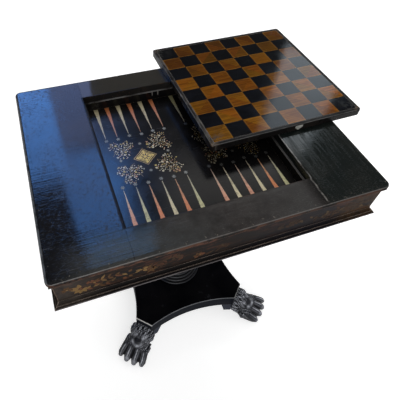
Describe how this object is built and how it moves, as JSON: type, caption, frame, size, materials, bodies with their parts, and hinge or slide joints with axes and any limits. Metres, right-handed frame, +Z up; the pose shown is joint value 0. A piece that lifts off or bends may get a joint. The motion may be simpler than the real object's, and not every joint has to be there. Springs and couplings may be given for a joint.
{
  "type": "pedestal games table",
  "caption": "Ebonised pedestal games table with a sunk backgammon well, a loose chess panel laid on its top, a deep apron, and a hollow-sided platform on carved paw feet.",
  "frame": {"origin": "on the floor, at the middle of the whole part's outline in plan with the loose panel where it lies; the pillar's axis stands at x -0.0355, y -0.0335", "axes": "+X to the right along the long side, +Y from the front to the back, +Z up"},
  "size_m": [0.807, 0.627, 0.7675],
  "materials": {
    "top_lacquer": "worn glossy black lacquer",
    "well_lacquer": "glossy black lacquer with painted points",
    "apron_lacquer": "worn black lacquer with faded gilt",
    "carcass_wood": "bare hardwood",
    "screw_steel": "dull iron",
    "base_lacquer": "black lacquer",
    "carved_lacquer": "rubbed black lacquer over carving",
    "panel_lacquer": "worn black lacquer",
    "light_veneer": "polished amber veneer",
    "dark_veneer": "polished ebonised veneer",
    "plate_metal": "tarnished pale metal"
  },
  "bodies": {
    "table": {"top_left_board": "top_lacquer", "top_right_board": "top_lacquer", "top_front_rail": "top_lacquer", "top_back_rail": "top_lacquer", "well_lining_front": "well_lacquer", "well_lining_right": "well_lacquer", "well_lining_back": "well_lacquer", "well_lining_left": "well_lacquer", "backgammon_floor": "well_lacquer", "apron_front": "apron_lacquer", "apron_right": "apron_lacquer", "apron_back": "apron_lacquer", "apron_left": "apron_lacquer", "cove_front": "apron_lacquer", "cove_right": "apron_lacquer", "cove_back": "apron_lacquer", "cove_left": "apron_lacquer", "base_moulding_front": "apron_lacquer", "base_moulding_right": "apron_lacquer", "base_moulding_back": "apron_lacquer", "base_moulding_left": "apron_lacquer", "well_glue_blocks": "carcass_wood", "corner_blocks": "carcass_wood", "bearer_left": "carcass_wood", "bearer_right": "carcass_wood", "pillar_block": "carcass_wood", "tenon_wedges": "carcass_wood", "foot_dowels": "carcass_wood", "top_screws": "screw_steel", "block_screws": "screw_steel", "bracket_screws": "screw_steel", "pillar_socle": "base_lacquer", "pillar_shaft": "base_lacquer", "pillar_cap": "base_lacquer", "platform_slab": "base_lacquer", "bracket_front_left": "base_lacquer", "bracket_front_right": "base_lacquer", "bracket_back_right": "base_lacquer", "bracket_back_left": "base_lacquer", "paw_foot_front_left": "carved_lacquer", "paw_foot_front_right": "carved_lacquer", "paw_foot_back_right": "carved_lacquer", "paw_foot_back_left": "carved_lacquer"},
    "chess_panel": {"panel_core": "panel_lacquer", "panel_edge_front": "panel_lacquer", "panel_edge_right": "panel_lacquer", "panel_edge_back": "panel_lacquer", "panel_edge_left": "panel_lacquer", "light_squares": "light_veneer", "dark_squares": "dark_veneer", "panel_plate": "plate_metal", "plate_pins": "plate_metal"}
  },
  "joints": [
    {"name": "panel_lift", "type": "slide", "parent": "table", "child": "chess_panel", "axis": [0, 0, 1], "range_m": [0, 0.2]}
  ]
}
